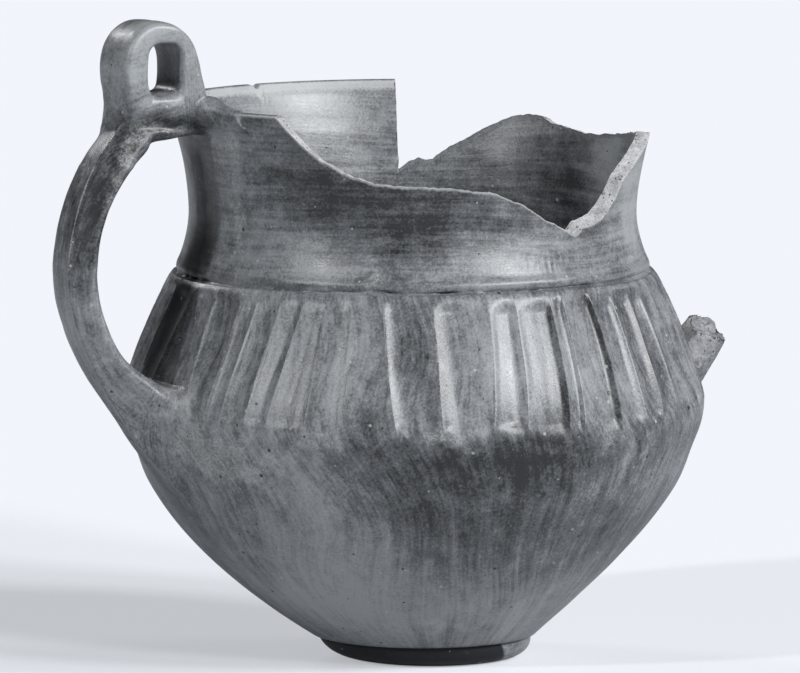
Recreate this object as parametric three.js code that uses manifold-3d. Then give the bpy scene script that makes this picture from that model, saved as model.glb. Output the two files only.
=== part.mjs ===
// Hand-built pot with a fluted shoulder, a strap handle with an eye on top, a broken rim, and the
// stump of a second handle opposite the first.
// Millimetres, +Z up. The origin is on the pot's axis, in the plane that its foot rests on.
// The whole handle stands towards -X and the broken one towards +X.
import * as THREE from "three";
import Module from "manifold-3d";
import { mergeVertices } from "three/addons/utils/BufferGeometryUtils.js";

// Heights above the resting plane
const FOOT_HEIGHT = 9.5;
const SHOULDER_SEAM_HEIGHT = 104; // the plane in which the shoulder ring was luted onto the bowl
const CARINATION_HEIGHT = 109; // the widest level
const GROOVE_HEIGHT = 162; // the groove, where the neck ring was luted onto the shoulder
const WAIST_HEIGHT = 187; // the narrowest level of the neck
const RIM_HEIGHT = 234;

// Outer radii
const FOOT_FLAT_RADIUS = 33;
const FOOT_RADIUS = 44.5;
const BOWL_BASE_RADIUS = 47;
const CARINATION_RADIUS = 121.8;
const SHOULDER_TOP_RADIUS = 101.2;
const NECK_BASE_RADIUS = 100.2;
const WAIST_RADIUS = 93.4;
const RIM_RADIUS = 103;

// How the outline swells between those levels: 1 is straight, 2 is a parabola
const BOWL_SWELL = 1.82;
const SHOULDER_SWELL = 1.3;
const NECK_SWEEP_BELOW_WAIST = 1.8;
const NECK_SWEEP_ABOVE_WAIST = 1.7;

// Wall, floor and lip
const WALL = 6.5;
const RIM_WALL = 5;
const FLOOR = 5;
const LIP = 1.8;
const BREAK_SLANT = 0.6; // how much higher a broken edge stands on the inside of the neck

// Groove under the neck
const GROOVE_DEPTH = 1.3;
const GROOVE_WIDTH = 3.6;

// Flutes: hollow channels side by side round the shoulder, with a sharp ridge between two of them
const FLUTE_COUNT = 36;
const FLUTE_DEPTH = 1.9;
const FLUTE_TOP = 159;
const FLUTE_BOTTOM = 105;
const FLUTE_RUN_OUT = 9; // the length over which a flute fades at its end

// The pot sits a little to one side of its body on its foot
const FOOT_SHIFT = 7.5;
const FOOT_SHIFT_AZIMUTH = -29;
const FOOT_SHIFT_HEIGHT = 67;

// Strap handle, measured on its outer line
const HANDLE_REACH = 60.2; // how far it stands out past the rim's radius
const HANDLE_BULGE_HEIGHT = 171.5;
const HANDLE_ROOT_HEIGHT = 86; // where the outer line runs into the bowl
const HANDLE_WIDTH = 26;
const HANDLE_THICKNESS = 9.8;
const HANDLE_RIM_WIDTH = 46;
const HANDLE_ROOT_WIDTH = 42;
const RIDGE_SHIFT = -3.5; // the ridge lies a little to the -Y side of the strap's middle

// Eye on top of the handle: an upright pierced loop whose hole runs along Y
const EYE_OFFSET = 19.5; // from the rim's radius to the middle of the eye
const EYE_WIDTH = 35;
const EYE_HEIGHT = 37.8;
const EYE_DEPTH = 24;
const EYE_EDGE = 3;
const EYE_BAR = 8.6; // clay under the hole
const EYE_HOLE_WIDTH = 14.5;
const EYE_HOLE_HEIGHT = 19.4;
const EYE_SEAT_DROP = 1; // the seat lies this far under the rim

// Broken face of the second handle
const STUMP_HEIGHT = 129.3;
const STUMP_RISE_ALONG_Y = 0.42;
const STUMP_FALL_OUTWARD = 0.25;

// Space between pieces that meet on curved faces
const JOINT_GAP = 0.3;

// Facets
const SMOOTH_SEGMENTS = 72;
const SEGMENTS_PER_FLUTE = 4;

// The broken edge: azimuth in degrees from +X, and the share of the neck's height that is lost there
const BROKEN_EDGE = [
  [-152, 0],
  [-148, 0.12],
  [-140, 0.27],
  [-133, 0.34],
  [-122, 0.395],
  [-104, 0.42],
  [-97, 0.445],
  [-88, 0.54],
  [-82, 0.625],
  [-73.6, 0.71],
  [-69, 0.67],
  [-62, 0.62],
  [-56, 0.51],
  [-52, 0.41],
  [-46, 0.34],
  [-36, 0.24],
  [-31, 0.19],
  [-8, 0.245],
  [7, 0.285],
  [18, 0.26],
  [24, 0.21],
  [33, 0.22],
  [43, 0.32],
  [52, 0.43],
  [56, 0.485],
  [60, 0.475],
  [65.1, 0.53],
  [65.5, 0],
];

const RADIANS = Math.PI / 180;
const wasm = await Module();
wasm.setup();

// Fired, burnished grey-black clay, and the same clay where it is broken
const burnished = (color) => new THREE.MeshStandardMaterial({ color, roughness: 0.5, metalness: 0 });
const footClay = burnished(0x4c4e50);
const bodyClay = burnished(0x65686b);
const handleClay = burnished(0x6c6f72);
const brokenClay = new THREE.MeshStandardMaterial({ color: 0xa9aaab, roughness: 0.95, metalness: 0 });

// Outline of the pot

function bowlRadius(z) {
  const up = (z - FOOT_HEIGHT) / (CARINATION_HEIGHT - FOOT_HEIGHT);
  const left = Math.max(0, 1 - up);
  return CARINATION_RADIUS - (CARINATION_RADIUS - BOWL_BASE_RADIUS) * left ** BOWL_SWELL;
}

function shoulderRadius(z) {
  const up = (z - CARINATION_HEIGHT) / (GROOVE_HEIGHT - CARINATION_HEIGHT);
  return CARINATION_RADIUS - (CARINATION_RADIUS - SHOULDER_TOP_RADIUS) * up ** SHOULDER_SWELL;
}

function neckRadius(z) {
  if (z < WAIST_HEIGHT) {
    const down = (WAIST_HEIGHT - z) / (WAIST_HEIGHT - GROOVE_HEIGHT);
    return WAIST_RADIUS + (NECK_BASE_RADIUS - WAIST_RADIUS) * down ** NECK_SWEEP_BELOW_WAIST;
  }
  const up = (z - WAIST_HEIGHT) / (RIM_HEIGHT - WAIST_HEIGHT);
  return WAIST_RADIUS + (RIM_RADIUS - WAIST_RADIUS) * up ** NECK_SWEEP_ABOVE_WAIST;
}

// A body radius belongs to the ring of clay that it is asked for: "bowl", "shoulder" or "neck".
function smoothRadius(ring, z) {
  if (ring === "neck") return neckRadius(z);
  return z > CARINATION_HEIGHT ? shoulderRadius(z) : bowlRadius(z);
}

function grooveAt(z) {
  return GROOVE_DEPTH * Math.exp(-(((z - GROOVE_HEIGHT) / (GROOVE_WIDTH / 2)) ** 2));
}

function fluteAt(azimuth, z) {
  const turn = (azimuth / 360) * FLUTE_COUNT;
  const across = 2 * (turn - Math.floor(turn)) - 1;
  const fromTop = THREE.MathUtils.smoothstep(FLUTE_TOP - z, 0, FLUTE_RUN_OUT);
  const fromBottom = THREE.MathUtils.smoothstep(z - FLUTE_BOTTOM, 0, FLUTE_RUN_OUT);
  return FLUTE_DEPTH * (1 - across * across) * fromTop * fromBottom;
}

function outerRadius(ring, azimuth, z) {
  const flute = ring === "shoulder" ? fluteAt(azimuth, z) : 0;
  return smoothRadius(ring, z) - grooveAt(z) - flute;
}

// The wall is measured square to the outline, so it is wider along the radius where it slopes.
// Above the waist it thins towards the rim.
function innerRadius(ring, z) {
  const step = 0.5;
  const slope = (smoothRadius(ring, z + step) - smoothRadius(ring, z - step)) / (2 * step);
  const towardsRim = THREE.MathUtils.clamp((z - WAIST_HEIGHT) / (RIM_HEIGHT - WAIST_HEIGHT), 0, 1);
  const wall = WALL + (RIM_WALL - WALL) * towardsRim;
  return smoothRadius(ring, z) - wall * Math.hypot(1, slope);
}

function shiftAt(z) {
  return FOOT_SHIFT * Math.max(0, 1 - z / FOOT_SHIFT_HEIGHT) ** 3;
}

function bodyPoint(azimuth, radius, z) {
  const shift = shiftAt(z);
  const x = radius * Math.cos(azimuth * RADIANS) + shift * Math.cos(FOOT_SHIFT_AZIMUTH * RADIANS);
  const y = radius * Math.sin(azimuth * RADIANS) + shift * Math.sin(FOOT_SHIFT_AZIMUTH * RADIANS);
  return new THREE.Vector3(x, y, z);
}

function brokenShare(azimuth) {
  const from = ((azimuth + 180) % 360) - 180;
  const next = BROKEN_EDGE.findIndex(([at]) => at > from);
  if (next < 1) return 0;
  const [a, lostA] = BROKEN_EDGE[next - 1];
  const [b, lostB] = BROKEN_EDGE[next];
  return lostA + ((lostB - lostA) * (from - a)) / (b - a);
}

// Solids

function evenAzimuths(count) {
  return Array.from({ length: count }, (_, i) => (i * 360) / count);
}

function heights(from, to, steps) {
  return Array.from({ length: steps + 1 }, (_, i) => from + ((to - from) * i) / steps);
}

// Rows of points become one closed skin. A row of one point is a pole, and without poles the last
// row joins the first.
function skin(rows) {
  const count = Math.max(...rows.map((row) => row.length));
  const points = rows.flat();
  const starts = rows.map((_, i) => rows.slice(0, i).reduce((sum, row) => sum + row.length, 0));
  const at = (row, i) => starts[row] + (rows[row].length === 1 ? 0 : i % count);
  const hasPoles = rows[0].length === 1;
  const faces = [];
  for (let row = 0; row < rows.length - (hasPoles ? 1 : 0); row++) {
    const above = (row + 1) % rows.length;
    for (let i = 0; i < count; i++) {
      const [a, b, c, d] = [at(row, i), at(row, i + 1), at(above, i + 1), at(above, i)];
      if (a !== b) faces.push(a, b, c);
      if (c !== d) faces.push(a, c, d);
    }
  }
  const geometry = new THREE.BufferGeometry().setFromPoints(points);
  geometry.setIndex(faces);
  return facingOut(geometry);
}

function facingOut(geometry) {
  const points = geometry.getAttribute("position");
  const index = geometry.getIndex().array;
  const corner = (i) => new THREE.Vector3().fromBufferAttribute(points, index[i]);
  let volume = 0;
  for (let i = 0; i < index.length; i += 3) {
    volume += corner(i).dot(corner(i + 1).cross(corner(i + 2)));
  }
  if (volume < 0) {
    for (let i = 0; i < index.length; i += 3) {
      [index[i + 1], index[i + 2]] = [index[i + 2], index[i + 1]];
    }
  }
  return geometry;
}

function toSolid(geometry) {
  const bare = geometry.clone();
  bare.deleteAttribute("normal");
  bare.deleteAttribute("uv");
  const merged = mergeVertices(bare, 1e-4);
  const vertProperties = new Float32Array(merged.getAttribute("position").array);
  const triVerts = new Uint32Array(merged.getIndex().array);
  return new wasm.Manifold(new wasm.Mesh({ numProp: 3, vertProperties, triVerts }));
}

function toGeometry(solid) {
  const mesh = solid.getMesh();
  const geometry = new THREE.BufferGeometry();
  geometry.setAttribute("position", new THREE.BufferAttribute(mesh.vertProperties, 3));
  geometry.setIndex(new THREE.BufferAttribute(mesh.triVerts, 1));
  return geometry;
}

// Body of the pot

function footDisc() {
  const round = heights(0, 90, 5).map((angle) => {
    const radius = FOOT_FLAT_RADIUS + (FOOT_RADIUS - FOOT_FLAT_RADIUS) * Math.sin(angle * RADIANS);
    return [radius, FOOT_HEIGHT * (1 - Math.cos(angle * RADIANS))];
  });
  const azimuths = evenAzimuths(SMOOTH_SEGMENTS);
  const rows = round.map(([radius, z]) => azimuths.map((a) => bodyPoint(a, radius, z)));
  return skin([[bodyPoint(0, 0, 0)], ...rows, [bodyPoint(0, 0, FOOT_HEIGHT)]]);
}

function bowlWall() {
  const azimuths = evenAzimuths(SMOOTH_SEGMENTS);
  const floor = FOOT_HEIGHT + FLOOR;
  const row = (radius, z) => azimuths.map((a) => bodyPoint(a, radius, z));
  const outside = heights(FOOT_HEIGHT, SHOULDER_SEAM_HEIGHT, 12);
  const inside = heights(SHOULDER_SEAM_HEIGHT, floor, 8);
  return skin([
    [bodyPoint(0, 0, FOOT_HEIGHT)],
    ...outside.map((z) => row(outerRadius("bowl", 0, z), z)),
    ...inside.map((z) => row(innerRadius("bowl", z), z)),
    [bodyPoint(0, 0, floor)],
  ]);
}

function shoulderHeights() {
  const plain = heights(FLUTE_BOTTOM + FLUTE_RUN_OUT, FLUTE_TOP - FLUTE_RUN_OUT, 4);
  const bottomFade = heights(SHOULDER_SEAM_HEIGHT, plain[0], 3).slice(0, -1);
  const topFade = heights(plain.at(-1), GROOVE_HEIGHT, 4).slice(1);
  return [...bottomFade, ...plain, ...topFade];
}

function flutedAzimuths() {
  return evenAzimuths(FLUTE_COUNT * SEGMENTS_PER_FLUTE);
}

function flutedShoulder() {
  const azimuths = flutedAzimuths();
  const outside = shoulderHeights();
  const inside = heights(GROOVE_HEIGHT, SHOULDER_SEAM_HEIGHT, 3);
  return skin([
    ...outside.map((z) => azimuths.map((a) => bodyPoint(a, outerRadius("shoulder", a, z), z))),
    ...inside.map((z) => azimuths.map((a) => bodyPoint(a, innerRadius("shoulder", z), z))),
  ]);
}

// The neck's columns are even, with one more on each side of every near-upright break.
function neckAzimuths() {
  const steps = BROKEN_EDGE.filter(([at], i) => i > 0 && at - BROKEN_EDGE[i - 1][0] < 1);
  const besides = steps.flatMap(([at]) => [at - 0.4, at]);
  return [...evenAzimuths(84), ...besides].sort((a, b) => a - b);
}

function neckWall() {
  const azimuths = neckAzimuths();
  const columns = azimuths.map((azimuth) => {
    const lost = brokenShare(azimuth);
    const top = RIM_HEIGHT - lost * (RIM_HEIGHT - GROOVE_HEIGHT);
    const whole = lost === 0;
    const lip = whole ? LIP : 0;
    const innerTop = whole ? top : top + BREAK_SLANT;
    const outside = [...heights(GROOVE_HEIGHT, GROOVE_HEIGHT + GROOVE_WIDTH, 2).slice(0, -1)];
    outside.push(...heights(GROOVE_HEIGHT + GROOVE_WIDTH, top - LIP, 6));
    const inside = heights(innerTop - LIP, GROOVE_HEIGHT, 6);
    return [
      ...outside.map((z) => bodyPoint(azimuth, outerRadius("neck", azimuth, z), z)),
      bodyPoint(azimuth, neckRadius(top) - lip / 2, top - lip / 3),
      bodyPoint(azimuth, (neckRadius(top) + innerRadius("neck", top)) / 2, (top + innerTop) / 2),
      bodyPoint(azimuth, innerRadius("neck", innerTop) + lip / 2, innerTop - lip / 3),
      ...inside.map((z) => bodyPoint(azimuth, innerRadius("neck", z), z)),
    ];
  });
  return skin(columns[0].map((_, row) => columns.map((column) => column[row])));
}

// The space that the pot's outside takes, grown by the joint gap, for trimming what is luted onto it
function potSpace() {
  const azimuths = flutedAzimuths();
  const grown = (ring, z) =>
    azimuths.map((a) => bodyPoint(a, outerRadius(ring, a, z) + JOINT_GAP, z));
  const bowl = heights(FOOT_HEIGHT, SHOULDER_SEAM_HEIGHT, 12).slice(0, -1);
  const shoulder = shoulderHeights();
  const neck = heights(GROOVE_HEIGHT, RIM_HEIGHT, 10);
  return toSolid(
    skin([
      [bodyPoint(0, 0, FOOT_HEIGHT)],
      ...bowl.map((z) => grown("bowl", z)),
      ...shoulder.map((z) => grown("shoulder", z)),
      ...neck.slice(1).map((z) => grown("neck", z)),
      ...heights(RIM_HEIGHT, RIM_HEIGHT + EYE_HEIGHT, 1)
        .slice(1)
        .map((z) => azimuths.map((a) => bodyPoint(a, RIM_RADIUS + JOINT_GAP, z))),
      [bodyPoint(0, 0, RIM_HEIGHT + EYE_HEIGHT)],
    ]),
  );
}

// Handles

// Stations down the strap's outer line: distance from the axis, height, thickness, width, and the
// share by which the strap is narrower on its inside
function strapStations() {
  const bulge = RIM_RADIUS + HANDLE_REACH;
  const rootRadius = bowlRadius(HANDLE_ROOT_HEIGHT);
  const upper = (out, down) => [
    RIM_RADIUS + out * HANDLE_REACH,
    RIM_HEIGHT - EYE_SEAT_DROP - down * (RIM_HEIGHT - EYE_SEAT_DROP - HANDLE_BULGE_HEIGHT),
  ];
  const lower = (out, down) => [
    rootRadius + out * (bulge - rootRadius),
    HANDLE_BULGE_HEIGHT - down * (HANDLE_BULGE_HEIGHT - HANDLE_ROOT_HEIGHT),
  ];
  const thick = HANDLE_THICKNESS;
  const wide = HANDLE_WIDTH;
  return [
    [...upper(-0.2, 0), thick, HANDLE_RIM_WIDTH, 0.55],
    [...upper(0, 0), thick, HANDLE_RIM_WIDTH, 0.5],
    [...upper(0.27, 0), thick, wide + 3, 0.1],
    [...upper(0.47, 0.02), thick + 0.7, wide, 0],
    [...upper(0.635, 0.12), thick + 1.6, wide, 0],
    [...upper(0.78, 0.315), thick + 0.8, wide, 0],
    [...upper(0.925, 0.625), thick, wide, 0],
    [...upper(1, 1), thick, wide, 0],
    [...lower(0.93, 0.26), thick, wide, 0],
    [...lower(0.74, 0.51), thick + 1, wide, 0],
    [...lower(0.5, 0.72), thick + 6, wide + 2, 0],
    [...lower(0.24, 0.88), thick + 9, (2 * wide + HANDLE_ROOT_WIDTH) / 3, 0],
    [...lower(0, 1), thick + 8, HANDLE_ROOT_WIDTH, 0],
    [...lower(-0.2, 1.12), thick + 5, HANDLE_ROOT_WIDTH, 0],
  ];
}

// The strap's section, as shares of its width and of its thickness in from the outer line: a ridge
// with a flat face behind it and a sloping one before it, round edges and a flat inside
function strapSection(width) {
  return [
    [RIDGE_SHIFT / width, 0],
    [0.3, 0.05],
    [0.45, 0.18],
    [0.5, 0.48],
    [0.45, 0.84],
    [0.29, 1],
    [-0.29, 1],
    [-0.45, 0.84],
    [-0.5, 0.54],
    [-0.45, 0.27],
    [-0.32, 0.12],
  ];
}

// The strap as one solid. side is -1 for the handle towards -X and +1 for the one towards +X.
function strapSolid(side, steps) {
  const stations = strapStations();
  const along = (points) => new THREE.CatmullRomCurve3(points, false, "catmullrom", 0.5);
  const line = along(stations.map(([reach, z]) => new THREE.Vector3(reach, z, 0)));
  const size = along(stations.map(([, , ...sizes]) => new THREE.Vector3(...sizes)));
  const rings = heights(0, 1, steps).map((t) => {
    const at = line.getPoint(t);
    const inward = line.getTangent(t);
    const { x: thickness, y: width, z: taper } = size.getPoint(t);
    return strapSection(width).map(([across, deep]) => {
      const reach = at.x + inward.y * deep * thickness;
      const z = at.y - inward.x * deep * thickness;
      return new THREE.Vector3(side * reach, across * width * (1 - taper * deep), z);
    });
  });
  const middle = (ring) => {
    const sum = ring.reduce((total, p) => total.add(p), new THREE.Vector3());
    return sum.divideScalar(ring.length);
  };
  return toSolid(skin([[middle(rings[0])], ...rings, [middle(rings.at(-1))]]));
}

// The eye, drawn in the plane of the handle and extruded along Y, with round edges outside and in
// the mouths of its hole. Its lower edge lies inside the strap.
function eyeSolid() {
  const middle = -(RIM_RADIUS + EYE_OFFSET);
  const half = EYE_WIDTH / 2;
  const seat = RIM_HEIGHT - EYE_SEAT_DROP;
  const archZ = seat + EYE_HEIGHT - half;
  const outline = new THREE.Shape();
  outline.moveTo(middle - half - 0.5, seat - 7);
  outline.lineTo(middle - half, archZ - 8);
  outline.lineTo(middle - half, archZ);
  outline.absarc(middle, archZ, half, Math.PI, 0, true);
  outline.lineTo(middle + half + 0.5, archZ - 10);
  outline.quadraticCurveTo(middle + half + 1, seat + 5, middle + half + 6, seat);
  outline.lineTo(middle + half + 6, seat - 5);
  outline.lineTo(middle, seat - 6);
  const hole = new THREE.Path();
  const holeHalf = EYE_HOLE_WIDTH / 2;
  const low = seat + EYE_BAR + holeHalf;
  const high = seat + EYE_BAR + EYE_HOLE_HEIGHT - holeHalf;
  hole.moveTo(middle + holeHalf, low);
  hole.lineTo(middle + holeHalf, high);
  hole.absarc(middle, high, holeHalf, 0, Math.PI, false);
  hole.lineTo(middle - holeHalf, low);
  hole.absarc(middle, low, holeHalf, Math.PI, 2 * Math.PI, false);
  outline.holes.push(hole);
  const geometry = new THREE.ExtrudeGeometry(outline, {
    depth: EYE_DEPTH - 2 * EYE_EDGE,
    bevelThickness: EYE_EDGE,
    bevelSize: EYE_EDGE / 2,
    bevelOffset: -EYE_EDGE / 2,
    bevelSegments: 3,
    curveSegments: 10,
  });
  geometry.rotateX(Math.PI / 2);
  geometry.translate(0, EYE_DEPTH / 2 - EYE_EDGE, 0);
  return toSolid(indexed(geometry));
}

function indexed(geometry) {
  const bare = geometry.clone();
  bare.deleteAttribute("normal");
  bare.deleteAttribute("uv");
  return mergeVertices(bare, 1e-4);
}

// A block that holds all that lies under a slanted plane, which passes through height at x = y = 0
function spaceUnder(height, slopeX, slopeY) {
  const reach = 2 * (RIM_RADIUS + HANDLE_REACH);
  const corners = [
    [-reach, -reach],
    [reach, -reach],
    [reach, reach],
    [-reach, reach],
  ];
  const bottom = corners.map(([x, y]) => new THREE.Vector3(x, y, -reach));
  const top = corners.map(([x, y]) => new THREE.Vector3(x, y, height + slopeX * x + slopeY * y));
  const pole = (row) => [row[0].clone().add(row[2]).divideScalar(2)];
  return toSolid(skin([pole(bottom), bottom, top, pole(top)]));
}

const pot = new THREE.Group();

function addPiece(name, geometry, material) {
  const mesh = new THREE.Mesh(geometry, material);
  mesh.name = name;
  pot.add(mesh);
}

const space = potSpace();
const handle = strapSolid(-1, 44).add(eyeSolid()).subtract(space);
const underSeat = spaceUnder(RIM_HEIGHT - EYE_SEAT_DROP, 0, 0);
const stumpMiddle = RIM_RADIUS + 0.72 * HANDLE_REACH;
const underBreak = spaceUnder(
  STUMP_HEIGHT + STUMP_FALL_OUTWARD * stumpMiddle,
  -STUMP_FALL_OUTWARD,
  STUMP_RISE_ALONG_Y,
);
const secondHandle = strapSolid(1, 44).subtract(space).intersect(underBreak);

addPiece("foot_disc", footDisc(), footClay);
addPiece("bowl_wall", bowlWall(), bodyClay);
addPiece("fluted_shoulder", flutedShoulder(), bodyClay);
addPiece("neck_wall", neckWall(), bodyClay);
addPiece("strap_handle", toGeometry(handle.intersect(underSeat)), handleClay);
addPiece("handle_eye", toGeometry(handle.subtract(underSeat)), handleClay);
addPiece("second_handle_stump", toGeometry(secondHandle), brokenClay);

export default pot;
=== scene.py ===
# A hand-built, burnished pot of grey-black clay: low foot, deep bowl, fluted shoulder, flaring neck
# whose rim is broken, a strap handle with a pierced eye on top, and the stump of a second handle.
# Shapes are worked out in millimetres in the frame's own axes, and the meshes are in metres.
import math
import random

import bmesh
import bpy
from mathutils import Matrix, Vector, kdtree, noise


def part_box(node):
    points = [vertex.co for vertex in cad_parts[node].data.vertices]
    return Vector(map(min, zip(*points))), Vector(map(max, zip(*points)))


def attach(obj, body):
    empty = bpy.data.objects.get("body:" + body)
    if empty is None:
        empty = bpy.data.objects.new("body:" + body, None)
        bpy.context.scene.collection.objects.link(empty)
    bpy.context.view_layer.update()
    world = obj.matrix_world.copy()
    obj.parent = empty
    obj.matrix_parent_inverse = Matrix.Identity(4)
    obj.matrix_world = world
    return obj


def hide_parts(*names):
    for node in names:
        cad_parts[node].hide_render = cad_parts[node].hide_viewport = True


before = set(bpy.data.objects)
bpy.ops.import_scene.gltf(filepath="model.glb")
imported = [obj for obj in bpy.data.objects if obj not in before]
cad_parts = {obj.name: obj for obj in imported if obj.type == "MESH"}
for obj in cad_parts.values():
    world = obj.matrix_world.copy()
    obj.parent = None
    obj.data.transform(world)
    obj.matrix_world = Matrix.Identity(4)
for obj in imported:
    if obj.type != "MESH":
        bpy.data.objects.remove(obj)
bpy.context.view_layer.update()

MM = 0.001

# Camera
# A long lens a little above the rim and turned to the handle's side, as the pot was photographed.
VIEW_AZIMUTH = math.radians(-29)
CAMERA_DISTANCE = 3.2
CAMERA_HEIGHT = 0.499
AIM_HEIGHT = 0.134
AIM_ASIDE = -0.0054
FILM_WIDTH = 36
LENS_LENGTH = 346.7

aside = Vector((math.cos(VIEW_AZIMUTH), math.sin(VIEW_AZIMUTH), 0))
towards_camera = Vector((math.sin(VIEW_AZIMUTH), -math.cos(VIEW_AZIMUTH), 0))
aim = aside * AIM_ASIDE + Vector((0, 0, AIM_HEIGHT))
camera_data = bpy.data.cameras.new("photo_camera")
camera_data.sensor_width = FILM_WIDTH
camera_data.lens = LENS_LENGTH
camera_data.clip_end = 50
camera = bpy.data.objects.new("photo_camera", camera_data)
camera.location = towards_camera * CAMERA_DISTANCE + Vector((0, 0, CAMERA_HEIGHT))
camera.rotation_euler = (aim - camera.location).to_track_quat("-Z", "Y").to_euler()
bpy.context.scene.collection.objects.link(camera)
bpy.context.scene.camera = camera

# Foot
# The disc of clay that the pot was started on: a low foot set off under the bowl, flat beneath.
# It is pressed and smoothed by hand from the same smoked clay as the body. All but a part on its right is
# painted near black: painted shadow that the bowl casts on it.
FOOT_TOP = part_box("foot_disc")[1].z / MM
FOOT_FLAT_RADIUS = 33
FOOT_RADIUS = 44.5
FOOT_SHIFT = 7.5
FOOT_SHIFT_AZIMUTH = math.radians(-29)
FOOT_SHIFT_HEIGHT = 67
FOOT_ROUND_ROWS = 14
# The foot's lit part, left out of the painted shadow: its azimuth and how far it reaches, in degrees
LIT_FOOT_AZIMUTH = -22
LIT_FOOT_REACH = 47
ROUND_COLUMNS = 360

# The black of the darkest smoke, and of the painted shade and shadow
SMOKE_AND_SHADE_BLACK = "#242628"
CLAY_MIDDLE = "#64676a"
CLAY_PALE = "#8d9092"
LIME_CRUST = "#bbbcbc"


def linear(hex_colour):
    channels = [int(hex_colour[i : i + 2], 16) / 255 for i in (1, 3, 5)]
    return [c / 12.92 if c < 0.04045 else ((c + 0.055) / 1.055) ** 2.4 for c in channels] + [1]


def new_material(name):
    material = bpy.data.materials.new(name)
    material.use_nodes = True
    material.node_tree.nodes.clear()
    return material


def add_node(material, kind, *inputs, gives=0, **settings):
    """The inputs fill the node's sockets in order, and the settings its properties or its sockets by
    name. An output of another node is linked, and any other value is set."""
    node = material.node_tree.nodes.new("ShaderNode" + kind)
    sockets = dict(enumerate(inputs))
    for name, value in settings.items():
        if hasattr(node, name):
            setattr(node, name, value)
        else:
            sockets[name.replace("_", " ")] = value
    for socket, value in sockets.items():
        if isinstance(value, bpy.types.NodeSocket):
            material.node_tree.links.new(value, node.inputs[socket])
        else:
            node.inputs[socket].default_value = value
    return node.outputs[gives] if node.outputs else None


# Smoked clay, burnished with a pebble before it was fired. The eye sees soft clouds of grey from the
# smoke, long streaks of uneven gloss along the pebble's strokes, and pale crusts and specks of lime
# from the ground it lay in. Where the clouds are made darkest they are painted shade and shadow,
# black and without gleam.
clay = new_material("smoked clay, burnished with a pebble")
place = add_node(clay, "TexCoord", gives="Object")
strokes_at = add_node(clay, "Attribute", gives="Vector", attribute_name="strokes")
cloud = add_node(clay, "Attribute", gives="Fac", attribute_name="cloud")
crust = add_node(clay, "Attribute", gives="Fac", attribute_name="crust")
wear = add_node(clay, "Attribute", gives="Fac", attribute_name="wear")

clouds = add_node(clay, "TexNoise", place, Scale=1 / (45 * MM), Detail=3, Roughness=0.55)
mottle = add_node(clay, "TexNoise", place, Scale=1 / (7 * MM), Detail=4, Roughness=0.65)
grain = add_node(clay, "TexNoise", place, Scale=1 / (1.1 * MM), Detail=2, Roughness=0.75)
broad_strokes = add_node(clay, "TexNoise", strokes_at, Scale=1 / (8 * MM), Detail=2, Roughness=0.5)
fine_strokes = add_node(clay, "TexNoise", strokes_at, Scale=1 / (1.8 * MM), Detail=3, Roughness=0.6)

tone = add_node(clay, "Math", clouds, 1.2, cloud, operation="MULTIPLY_ADD")
for pattern, weight in ((mottle, 1.3), (broad_strokes, 1.1), (fine_strokes, 1.4), (grain, 1.5)):
    tone = add_node(clay, "Math", pattern, weight, tone, operation="MULTIPLY_ADD")
darker = add_node(clay, "MapRange", tone, 2.45, 3.35)
paler = add_node(clay, "MapRange", tone, 3.2, 4.1)
colour = add_node(clay, "MixRGB", darker, linear(SMOKE_AND_SHADE_BLACK), linear(CLAY_MIDDLE))
colour = add_node(clay, "MixRGB", paler, colour, linear(CLAY_PALE))

threads = add_node(
    clay, "TexNoise", place, Scale=1 / (3.2 * MM), Detail=3, Roughness=0.7, Distortion=1.2
)
threads = add_node(clay, "Math", threads, 0.5, operation="SUBTRACT")
threads = add_node(clay, "Math", threads, operation="ABSOLUTE")
threads = add_node(clay, "MapRange", threads, 0.0, 0.05, 1.0, 0.0, interpolation_type="SMOOTHSTEP")
crust_share = add_node(clay, "Math", mottle, 1.6, crust, operation="MULTIPLY_ADD")
crust_share = add_node(clay, "MapRange", crust_share, 0.95, 1.7, interpolation_type="SMOOTHSTEP")
threads = add_node(clay, "Math", threads, 0.75, 0.25, operation="MULTIPLY_ADD")
crust_share = add_node(clay, "Math", crust_share, threads, operation="MULTIPLY")
wear_share = add_node(clay, "Math", grain, 0.6, wear, operation="MULTIPLY_ADD")
wear_share = add_node(clay, "MapRange", wear_share, 0.45, 1.05, interpolation_type="SMOOTHSTEP")
pale_share = add_node(clay, "Math", crust_share, wear_share, operation="MAXIMUM")
speck_cells = add_node(clay, "TexVoronoi", place, Scale=1 / (6 * MM), gives="Distance")
speck_sizes = add_node(clay, "TexVoronoi", place, Scale=1 / (6 * MM), gives="Color")
speck_cells = add_node(clay, "Math", speck_sizes, -0.22, speck_cells, operation="MULTIPLY_ADD")
specks = add_node(
    clay, "MapRange", speck_cells, -0.09, -0.05, 0.8, 0.0, interpolation_type="SMOOTHSTEP"
)
pale_share = add_node(clay, "Math", pale_share, specks, operation="MAXIMUM")
pale_share = add_node(clay, "Math", pale_share, 0.55, operation="MULTIPLY")
colour = add_node(clay, "MixRGB", pale_share, colour, linear(LIME_CRUST))

pit_place = add_node(clay, "VectorMath", place, (0.004, 0.007, 0.002), operation="ADD")
pit_cells = add_node(clay, "TexVoronoi", pit_place, Scale=1 / (7 * MM), gives="Distance")
pit_sizes = add_node(clay, "TexVoronoi", pit_place, Scale=1 / (7 * MM), gives="Color")
pit_cells = add_node(clay, "Math", pit_sizes, -0.22, pit_cells, operation="MULTIPLY_ADD")
pits = add_node(clay, "MapRange", pit_cells, -0.1, -0.05, 0.9, 0.0, interpolation_type="SMOOTHSTEP")
colour = add_node(clay, "MixRGB", pits, colour, linear(SMOKE_AND_SHADE_BLACK))

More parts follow.
